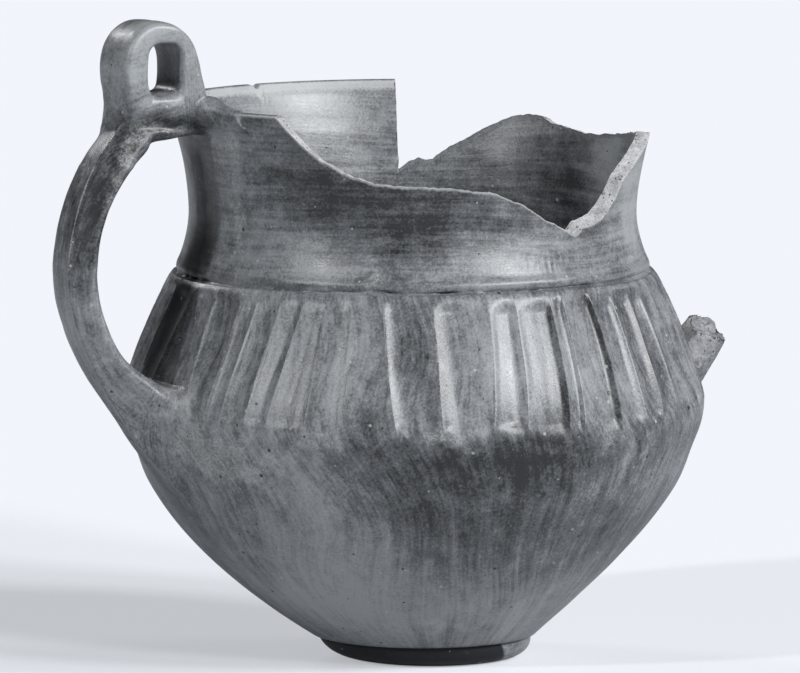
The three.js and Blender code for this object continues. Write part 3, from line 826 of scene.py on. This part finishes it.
# The loop's outside and its hole, in the plane of the handle, from its foot beside the rim upwards
# and round to the same foot: distance from the pot's axis and height
EYE_OUTSIDE = [
    (101, 234),
    (102.3, 242),
    (103.9, 248),
    (105.2, 254),
    (107.4, 260.3),
    (111.2, 265.6),
    (116.5, 269.4),
    (122.8, 270.8),
    (129.2, 269.9),
    (135.2, 266),
    (139.1, 260),
    (140.5, 253.2),
    (140.2, 247.2),
    (139.1, 241),
    (138.9, 235.5),
    (139.4, 230.5),
    (140.3, 225.5),
    (142, 221),
    (139.5, 218.5),
    (134, 221.5),
    (127, 223.5),
    (116, 225),
    (104, 226),
]
EYE_NEAR = 12.5
EYE_FAR = 14
EYE_SQUARENESS = 5
EYE_EDGE_TURNS_IN = 8
EYE_DRAWN_IN_BELOW = 0.45
HOLE_MIDDLE = (121.4, 251.2)
HOLE_HALF_WIDTH = 7.2
HOLE_HALF_HEIGHT = 10
HOLE_SQUARENESS = 3.4
EYE_COLUMNS = 108
EYE_ROWS = 56
WEB_RISE = 5.2
WEB_FADES_OVER = 8.8
WEB_BULGE = 5
WEB_BULGE_FADES_OVER = 4
WEB_REACH = 34
WEB_DEPTH = 7
WEB_COLUMNS = 24
WEB_ROWS = 60
UNMARKED = {"cloud": 0, "crust": 0}
FINGER_MARKS = ((13, 0.32), (4.5, 0.1))


def curve_through(points, at):
    """A point of the smooth curve through a list of points, of any number of values each. at counts
    the stretches from the first point. Beyond the ends the curve goes on as it came."""
    number = min(len(points) - 2, max(0, int(at)))
    share = at - number
    p1, p2 = points[number], points[number + 1]
    p0 = points[number - 1] if number > 0 else [2 * a - b for a, b in zip(p1, p2)]
    p3 = points[number + 2] if number + 2 < len(points) else [2 * a - b for a, b in zip(p2, p1)]
    return [
        b
        + 0.5 * share * (c - a + share * (2 * a - 5 * b + 4 * c - d + share * (3 * (b - c) + d - a)))
        for a, b, c, d in zip(p0, p1, p2, p3)
    ]


root_radius = bowl_radius(HANDLE_ROOT_HEIGHT)
bulge_radius = RIM_RADIUS + HANDLE_REACH


def upper(out, down, *sizes):
    return (RIM_RADIUS + out * HANDLE_REACH, SEAT - down * (SEAT - HANDLE_BULGE_HEIGHT), *sizes)


def lower(out, down, *sizes):
    height = HANDLE_BULGE_HEIGHT - down * (HANDLE_BULGE_HEIGHT - HANDLE_ROOT_HEIGHT)
    return (root_radius + out * (bulge_radius - root_radius), height, *sizes)


# Stations down the strap's outer line: distance from the axis, height, thickness, width, and the
# share by which the strap is narrower on its inside
STATIONS = [
    upper(-0.2, 0.02, 8.5, HANDLE_RIM_WIDTH, 0.45),
    upper(0, 0.02, 8.5, HANDLE_RIM_WIDTH, 0.4),
    upper(0.27, 0.02, 9.8, 25, 0.2),
    upper(0.48, 0.01, 12.6, 27.5, 0.05),
    upper(0.6, 0.09, 13.6, HANDLE_WIDTH, 0.02),
    upper(0.775, 0.29, 13, HANDLE_WIDTH, 0),
    upper(0.93, 0.62, 11, HANDLE_WIDTH, 0),
    upper(1.005, 1, HANDLE_THICKNESS, HANDLE_WIDTH, 0),
    lower(0.94, 0.26, HANDLE_THICKNESS, HANDLE_WIDTH, 0),
    lower(0.745, 0.51, 12.3, HANDLE_WIDTH, 0),
    lower(0.505, 0.72, 19.5, 29, 0),
    lower(0.285, 0.89, 25, 34, 0),
    lower(0.1, 1, 22, HANDLE_ROOT_WIDTH, 0),
    lower(-0.22, 1.2, 16, 50, 0),
    lower(-0.6, 1.4, 12, 50, 0),
]
# How far the ridge runs from the middle of the strap, at the same stations
RIDGE = [-3, -3, -3, -4, -5, -6, -6.5, -6.5, -6.5, -6, -5, -4, -3.5, -3.5, -3.5]


def section(ridge):
    """The strap's section from the ridge round to the ridge, in shares of its width and thickness. Its
    back falls off gently to one side of the ridge and steeply to the other."""
    near = -0.5 - ridge
    return [
        (ridge, -0.02),
        (ridge + 0.2, 0.04),
        (0.3, 0.07),
        (0.45, 0.19),
        (0.5, 0.48),
        (0.45, 0.84),
        (0.29, 1),
        (-0.29, 1),
        (-0.44, 0.92),
        (-0.49, 0.7),
        (ridge + 0.55 * near, 0.34),
        (ridge + 0.1 * near, 0.05),
        (ridge, -0.02),
    ]


def strap_point(side, along, round_share):
    """A point of the strap's skin. side is -1 for the whole handle and 1 for the broken one."""
    reach, height, thickness, width, taper = curve_through(STATIONS, along)
    ahead = curve_through(STATIONS, along + 0.01)
    run = Vector((ahead[0] - reach, ahead[1] - height)).normalized()
    (ridge,) = curve_through([[shift] for shift in RIDGE], along)
    outline = section(ridge / width)
    across, deep = curve_through(outline, round_share * (len(outline) - 1))
    reach += run.y * deep * thickness
    height -= run.x * deep * thickness
    return Vector((side * reach, across * width * (1 - taper * deep), height))


def strap_mesh(side):
    """The strap, with its ends drawn together in the clay that it is luted to."""

    def place_at(column, row):
        if row in (0, STRAP_ROWS):
            along = 0 if row == 0 else len(STATIONS) - 1
            ends = [strap_point(side, along, share) for share in (0.1, 0.35, 0.6, 0.85)]
            return sum(ends, Vector()) / len(ends), UNMARKED
        along = (len(STATIONS) - 1) * (row - 1) / (STRAP_ROWS - 2)
        return strap_point(side, along, column / SECTION_COLUMNS), UNMARKED

    return bent_grid(SECTION_COLUMNS, STRAP_ROWS, place_at)


def squared(share, squareness):
    """Turns a sine or cosine into that of a rounder rectangle, the more so the higher squareness is."""
    return math.copysign(abs(share) ** (2 / squareness), share)


def eye_mesh():
    """The loop. Its near edge turns in as it runs down into the ridge on the strap's back."""
    closed = EYE_OUTSIDE + EYE_OUTSIDE[:1]

    def place_at(column, row):
        outside = Vector(curve_through(closed, column / EYE_COLUMNS * (len(closed) - 1)))
        turn = math.atan2(outside.y - HOLE_MIDDLE[1], outside.x - HOLE_MIDDLE[0])
        width = squared(math.cos(turn), HOLE_SQUARENESS) * HOLE_HALF_WIDTH
        rise = squared(math.sin(turn), HOLE_SQUARENESS) * HOLE_HALF_HEIGHT
        hole = Vector((HOLE_MIDDLE[0] + width, HOLE_MIDDLE[1] + rise))
        angle = 2 * math.pi * row / EYE_ROWS
        band = outside - hole
        in_plane = squared(math.cos(angle), EYE_SQUARENESS)
        sideways = squared(math.sin(angle), EYE_SQUARENESS)
        spot = (outside + hole) / 2 + band / 2 * in_plane
        y = (EYE_FAR - EYE_NEAR) / 2 + (EYE_FAR + EYE_NEAR) / 2 * sideways
        turned = smooth_step(237 - spot.y, 0, 13) * min(1.2, max(0, (spot.x - 128) / 11))
        if y < 0:
            y += EYE_EDGE_TURNS_IN * turned * y / -EYE_NEAR
        under = smooth_step(RIM - spot.y, 0, 11) * smooth_step(134 - spot.x, 0, 8)
        y *= 1 - EYE_DRAWN_IN_BELOW * under
        return Vector((-spot.x, y, spot.y)), UNMARKED

    return bent_grid(EYE_COLUMNS, EYE_ROWS, place_at)


def rim_web_mesh():
    """The thin web of clay that runs down from both sides of the loop's foot onto the rim."""

    def place_at(column, row):
        aside_of_loop = WEB_REACH * math.sin(math.pi * (row / WEB_ROWS - 0.5))
        beyond = max(0, abs(aside_of_loop) - EYE_NEAR)
        middle = RIM_RADIUS - RIM_WALL / 2
        turn = aside_of_loop / middle
        if row in (0, WEB_ROWS):
            return Vector((-middle * math.cos(turn), middle * math.sin(turn), RIM - 6)), UNMARKED
        top = RIM + 0.1 + WEB_RISE * math.exp(-beyond / WEB_FADES_OVER)
        top -= 6 * smooth_step(abs(aside_of_loop), WEB_REACH - 8, WEB_REACH)
        bottom = RIM - WEB_DEPTH
        angle = 2 * math.pi * column / WEB_COLUMNS
        thick = RIM_WALL / 2 + 0.5
        if math.cos(angle) > 0:
            thick += WEB_BULGE * math.exp(-beyond / WEB_BULGE_FADES_OVER)
        radius = middle + thick * squared(math.cos(angle), 3)
        z = (top + bottom) / 2 + (top - bottom) / 2 * squared(math.sin(angle), 3)
        return Vector((-radius * math.cos(turn), radius * math.sin(turn), z)), UNMARKED

    return bent_grid(WEB_COLUMNS, WEB_ROWS, place_at)


def joined_clay(parts):
    """Kneads closed parts that overlap into one lump with an even skin."""
    raw = bpy.data.meshes.new("raw_clay")
    lump = bmesh.new()
    for part in parts:
        part.to_mesh(raw)
        lump.from_mesh(raw)
        part.free()
    lump.to_mesh(raw)
    lump.free()
    piece = bpy.data.objects.new("raw_clay", raw)
    bpy.context.scene.collection.objects.link(piece)
    remesh = piece.modifiers.new("even_skin", "REMESH")
    remesh.mode = "VOXEL"
    remesh.voxel_size = CLAY_VOXEL
    skin = piece.evaluated_get(bpy.context.evaluated_depsgraph_get())
    mesh = bmesh.new()
    mesh.from_mesh(skin.to_mesh())
    skin.to_mesh_clear()
    bpy.data.objects.remove(piece)
    bpy.data.meshes.remove(raw)
    for name in ("cloud", "crust", "wear", "broken"):
        mesh.verts.layers.float.get(name) or mesh.verts.layers.float.new(name)
    mesh.verts.layers.float_vector.get("strokes") or mesh.verts.layers.float_vector.new("strokes")
    return mesh


def smooth_clay(mesh, verts, times):
    for _ in range(times):
        bmesh.ops.smooth_vert(
            mesh, verts=verts, factor=0.5, use_axis_x=True, use_axis_y=True, use_axis_z=True
        )


def outer_radius(z):
    return neck_radius(min(z, RIM)) if z > GROOVE else body_outline(z)


def wall_at(point):
    """The wall's own radius at a place, with its flutes and groove."""
    azimuth = math.degrees(math.atan2(point.y, point.x))
    radius = outer_radius(point.z) + unevenness(*point)
    if point.z > GROOVE:
        return radius + neck_swelling(azimuth, min(point.z, RIM))
    return radius - groove_cut(azimuth, point.z) - flute_cut(azimuth, point.z)[0]


def pinch_ridge(mesh):
    """Raises the thin ridge that was pinched along the strap's back, and lets it die out at both ends."""
    path = kdtree.KDTree(RIDGE_POINTS)
    heights = []
    for i in range(RIDGE_POINTS):
        along = RIDGE_FROM + (RIDGE_TO + 1 - RIDGE_FROM) * i / RIDGE_POINTS
        starts = smooth_step(along, RIDGE_FROM, RIDGE_FROM + 1)
        heights.append(RIDGE_HEIGHT * starts * smooth_step(RIDGE_TO - along, 0, 2.5))
        path.insert(strap_point(-1, along, 0) * MM, i)
    path.balance()
    mesh.normal_update()
    for vertex in mesh.verts:
        number, far = path.find(vertex.co)[1:]
        if far < 3 * MM:
            push = heights[number] * math.exp(-((far / MM / RIDGE_BREADTH) ** 2))
            vertex.co += vertex.normal * push * MM


def lute_to_wall(mesh):
    """Smears the clay out over the wall where it meets it, but for the side that faces the wall, and
    leaves its ends just inside the wall."""
    mesh.normal_update()
    moves = []
    for vertex in mesh.verts:
        point = vertex.co / MM
        if point.z > SEAT + 1.5:
            continue
        radius = math.hypot(point.x, point.y)
        if radius > outer_radius(point.z) + NEAR_WALL:
            continue
        wall = wall_at(point)
        slope = outer_radius(point.z + 0.5) - outer_radius(point.z - 0.5)
        outwards = Vector((point.x / radius, point.y / radius, -slope)).normalized()
        height = (radius - wall) * outwards.xy.length
        below = smooth_step(HANDLE_BULGE_HEIGHT - point.z, 20, 50)
        smear = SMEAR_RIM + (SMEAR_ROOT - SMEAR_RIM) * below
        if height < smear:
            left = smear - max(0, height)
            push = smear - math.sqrt(max(0, smear * smear - left * left))
            away_from_wall = vertex.normal.dot(outwards)
            push *= smooth_step(away_from_wall, -0.6, 0.1)
            sideways = vertex.normal - outwards * away_from_wall
            if point.z > RIM - 12:
                sideways.z = min(0, sideways.z)
            point += sideways * push
            seated = (wall_at(point) + radius - wall) / math.hypot(point.x, point.y)
            point.xy *= 1 + (seated - 1) * left / smear
            radius, wall = math.hypot(point.x, point.y), wall_at(point)
        sunk = SUNK_RIM if point.z > WAIST else SUNK_ROOT
        if radius < wall - sunk:
            point.xy *= (wall - sunk) / radius
        moves.append((vertex, point))
    for vertex, point in moves:
        vertex.co = point * MM


def finger_marks(mesh):
    """Leaves the skin a little uneven, as fingers and the pebble left it."""
    mesh.normal_update()
    for vertex in mesh.verts:
        point = vertex.co / MM
        push = sum(height * noise.noise(point / width) for width, height in FINGER_MARKS)
        vertex.co += vertex.normal * push * MM


def mark_handle(mesh, clouds, crusts):
    """Gives each vertex its clouds and crusts, its wear where the skin is bent sharply outwards, and
    strokes that follow the strap. Close to the wall all of them turn into the wall's own."""
    mesh.normal_update()
    layers = mesh.verts.layers
    for vertex in mesh.verts:
        point = vertex.co / MM
        around = [edge.other_vert(vertex).co for edge in vertex.link_edges]
        bend = (vertex.co - sum(around, Vector()) / len(around)).dot(vertex.normal) / MM
        off_wall = math.hypot(point.x, point.y) - outer_radius(point.z)
        bare = smooth_step(off_wall, 1, 5)
        vertex[layers.float["wear"]] = 0.5 * bare * smooth_step(bend, 0.02, 0.09)
        off_bend = Vector((abs(point.x) - STRAP_BEND[0], point.z - STRAP_BEND[1]))
        turn = math.atan2(off_bend.y, off_bend.x)
        strokes = Vector((turn * STRAP_BEND_RADIUS * 0.06, point.y, off_bend.length)) * MM
        of_wall = 1 - smooth_step(off_wall, 1, 12)
        on_shoulder = point.z < GROOVE
        azimuth = math.degrees(math.atan2(point.y, point.x))
        strokes += (rubbed(azimuth, point.z, on_shoulder) - strokes) * of_wall
        vertex[layers.float_vector["strokes"]] = strokes
        vertex[layers.float["cloud"]] = marks_at(clouds, point) + of_wall * smoke_and_painted_light_at(point)
        vertex[layers.float["crust"]] = marks_at(crusts, point) + of_wall * marks_at(CRUSTS, point)


HANDLE_CLOUDS = [
    ((-150, -13, 205), 14, 26, -0.8),
    # Painted shade on the near face where it turns down under the loop.
    ((-135, -12, 226), 18, 7, -0.6),
    ((-161, -12, 175), 8, 26, -0.35),
    ((-158, 2, 150), 24, 30, 0.3),
    ((-123, -12, 256), 18, 20, 0.75),
    ((-138, -4, 262), 12, 14, 0.3),
    # Painted shade inside the loop's hole, painted near black.
    ((-121.4, 2, 251), 9, 10.5, -2.2),
    # Painted shade on the near face where it turns down under the loop.
    ((-112, -14, 230), 18, 5, -0.6),
    ((-110, -14, 255), 9, 14, 0.35),
    ((-158, -10, 196), 8, 14, -0.3),
]
HANDLE_CRUSTS = [
    ((-136, -12, 224), 5, 5, 0.8),
    ((-139, -12, 216), 4, 5, 0.9),
    ((-144, -12, 206), 3, 8, 0.9),
    ((-148, -12, 193), 3, 8, 0.7),
    ((-130, -12, 229), 8, 3, 0.6),
    ((-138, 6, 262), 8, 10, 0.35),
    ((-150, -8, 140), 10, 20, 0.3),
]

handle = joined_clay([strap_mesh(-1), eye_mesh(), rim_web_mesh()])
smooth_clay(handle, handle.verts, 4)
# Beside the loop's seat and in the bend under it: the middle's height, how far up and down, from
# which distance outwards, and how often it is smoothed
for height, reach, outside_of, times in ((230, 8, 104, 22), (219, 7, 120, 60)):
    rubbed_down = [
        v for v in handle.verts if abs(v.co.z / MM - height) < reach and v.co.x / MM < -outside_of
    ]
    smooth_clay(handle, rubbed_down, times)
pinch_ridge(handle)
lute_to_wall(handle)
spots = [(v, v.co / MM) for v in handle.verts]
by_wall = [v for v, spot in spots if spot.z < 140 and spot.xy.length < outer_radius(spot.z) + 6]
smooth_clay(handle, by_wall, 8)
smooth_clay(handle, handle.verts, 1)
finger_marks(handle)
mark_handle(handle, HANDLE_CLOUDS, HANDLE_CRUSTS)


def part_of(mesh, plane_point, plane_normal):
    """A copy of what lies on the side of a plane that its normal points to, closed where it was cut."""
    part = mesh.copy()
    geometry = part.verts[:] + part.edges[:] + part.faces[:]
    cut = bmesh.ops.bisect_plane(
        part,
        geom=geometry,
        dist=1e-4 * MM,
        plane_co=plane_point,
        plane_no=plane_normal,
        clear_inner=True,
    )
    edges = [item for item in cut["geom_cut"] if isinstance(item, bmesh.types.BMEdge)]
    bmesh.ops.holes_fill(part, edges=edges, sides=0)
    filled = [face for face in part.faces if len(face.verts) > 4]
    bmesh.ops.triangulate(part, faces=filled)
    return part


seat_point = Vector((0, 0, SEAT_CUT * MM))
strap = new_piece("strap_handle_clay", part_of(handle, seat_point, Vector((0, 0, -1))), [clay], 60)
eye = new_piece("handle_eye_clay", part_of(handle, seat_point, Vector((0, 0, 1))), [clay], 60)
handle.free()
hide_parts("strap_handle")
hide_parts("handle_eye")

# Stump of the second handle
# The root of a strap like the first, on the other side. It is broken off short, and its face is the
# rough pale core of the clay.
STUMP_HEIGHT = 129.3
STUMP_RISE_ALONG_Y = 0.42
STUMP_FALL_OUTWARD = 0.25
STUMP_ROUGHNESS = 1.1
STUMP_STEP = 1.6
STUMP_STAIN = -0.4
BREAK_DEPTH = 0.9
SPALL_AT_Y = -10

break_point = Vector((RIM_RADIUS + 0.72 * HANDLE_REACH, 0, STUMP_HEIGHT))
break_normal = Vector((STUMP_FALL_OUTWARD, -STUMP_RISE_ALONG_Y, 1)).normalized()
spall_point = Vector((RIM_RADIUS + 0.6 * HANDLE_REACH, SPALL_AT_Y, STUMP_HEIGHT - 12))
spall_normal = Vector((0.1, -1, 0.35)).normalized()
whole_strap = strap_mesh(1)
broken_strap = part_of(whole_strap, break_point * MM, -break_normal)
stump_mesh = joined_clay([part_of(broken_strap, spall_point * MM, -spall_normal)])
whole_strap.free()
broken_strap.free()
smooth_clay(stump_mesh, stump_mesh.verts, 2)
lute_to_wall(stump_mesh)
smooth_clay(stump_mesh, stump_mesh.verts, 1)
mark_handle(stump_mesh, [], [])
broken_layer = stump_mesh.verts.layers.float["broken"]
stain_layer = stump_mesh.verts.layers.float["cloud"]
for vertex in stump_mesh.verts:
    point = vertex.co / MM
    under = (break_point - point).dot(break_normal)
    beside = (spall_point - point).dot(spall_normal)
    if min(under, beside) < BREAK_DEPTH:
        vertex[broken_layer] = 1
        vertex[stain_layer] = STUMP_STAIN
        normal = break_normal if under < beside else spall_normal
        step = STUMP_STEP * smooth_step(noise.noise(point / 9), -0.1, 0.15)
        rough = noise.noise(point / 5) + 0.6 * noise.noise(point / 1.8)
        vertex.co += normal * (STUMP_ROUGHNESS * rough - step) * MM
stump = new_piece("second_handle_stump_clay", stump_mesh, [clay, core], 50)
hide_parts("second_handle_stump")

# Floor and light
# A sheet of white paper that the pot stands on, in soft studio light from both sides and behind.
PAPER_WHITE = "#edf0f5"
PAPER_FROM_THE_POT = "#bfc2c6"
LIGHT_WHITE = "#fcfdff"
WORLD_STRENGTH = 0.06
PAPER_GLOW = 0.4

paper = new_material("white paper")
paper_lit = add_node(paper, "BsdfDiffuse", linear(PAPER_WHITE))
paper_glow = add_node(paper, "Emission", linear(PAPER_WHITE), 1.0)
paper_dim = add_node(paper, "BsdfDiffuse", linear(PAPER_FROM_THE_POT))
paper_seen = add_node(paper, "MixShader", PAPER_GLOW, paper_lit, paper_glow)
seen = add_node(paper, "LightPath", gives="Is Camera Ray")
paper_surface = add_node(paper, "MixShader", seen, paper_dim, paper_seen)
add_node(paper, "OutputMaterial", paper_surface)
floor_mesh = bmesh.new()
bmesh.ops.create_grid(floor_mesh, x_segments=1, y_segments=1, size=40)
floor_data = bpy.data.meshes.new("floor")
floor_mesh.to_mesh(floor_data)
floor_mesh.free()
floor_data.materials.append(paper)
floor = bpy.data.objects.new("floor", floor_data)
bpy.context.scene.collection.objects.link(floor)

world = bpy.data.worlds.new("studio")
world.use_nodes = True
background = world.node_tree.nodes["Background"]
background.inputs["Color"].default_value = linear(LIGHT_WHITE)
background.inputs["Strength"].default_value = WORLD_STRENGTH
bpy.context.scene.world = world

# Lamps: the turn from the camera to the right and the height, in degrees, how wide the lamp looks
# from the pot, and its strength
LAMPS = {
    "front": (36, 25, 9, 1.2),
    "right_front": (52, 30, 10, 1.5),
    "right_side": (68, 30, 12, 1.9),
    "left_front": (-50, 27, 4, 1.3),
    "left_back": (-141, 29, 10, 0.6),
    "right_back": (130, 32, 14, 0.35),
}
for name, (azimuth, elevation, width, strength) in LAMPS.items():
    lamp_data = bpy.data.lights.new(name, "SUN")
    lamp_data.angle = math.radians(width)
    lamp_data.energy = strength
    lamp_data.color = linear(LIGHT_WHITE)[:3]
    lamp = bpy.data.objects.new(name, lamp_data)
    turn, lift = math.radians(azimuth), math.radians(elevation)
    out = aside * math.sin(turn) + towards_camera * math.cos(turn)
    direction = out * math.cos(lift) + Vector((0, 0, math.sin(lift)))
    lamp.location = direction * 2
    lamp.rotation_euler = direction.to_track_quat("Z", "Y").to_euler()
    bpy.context.scene.collection.objects.link(lamp)

bpy.context.scene.view_settings.view_transform = "Standard"
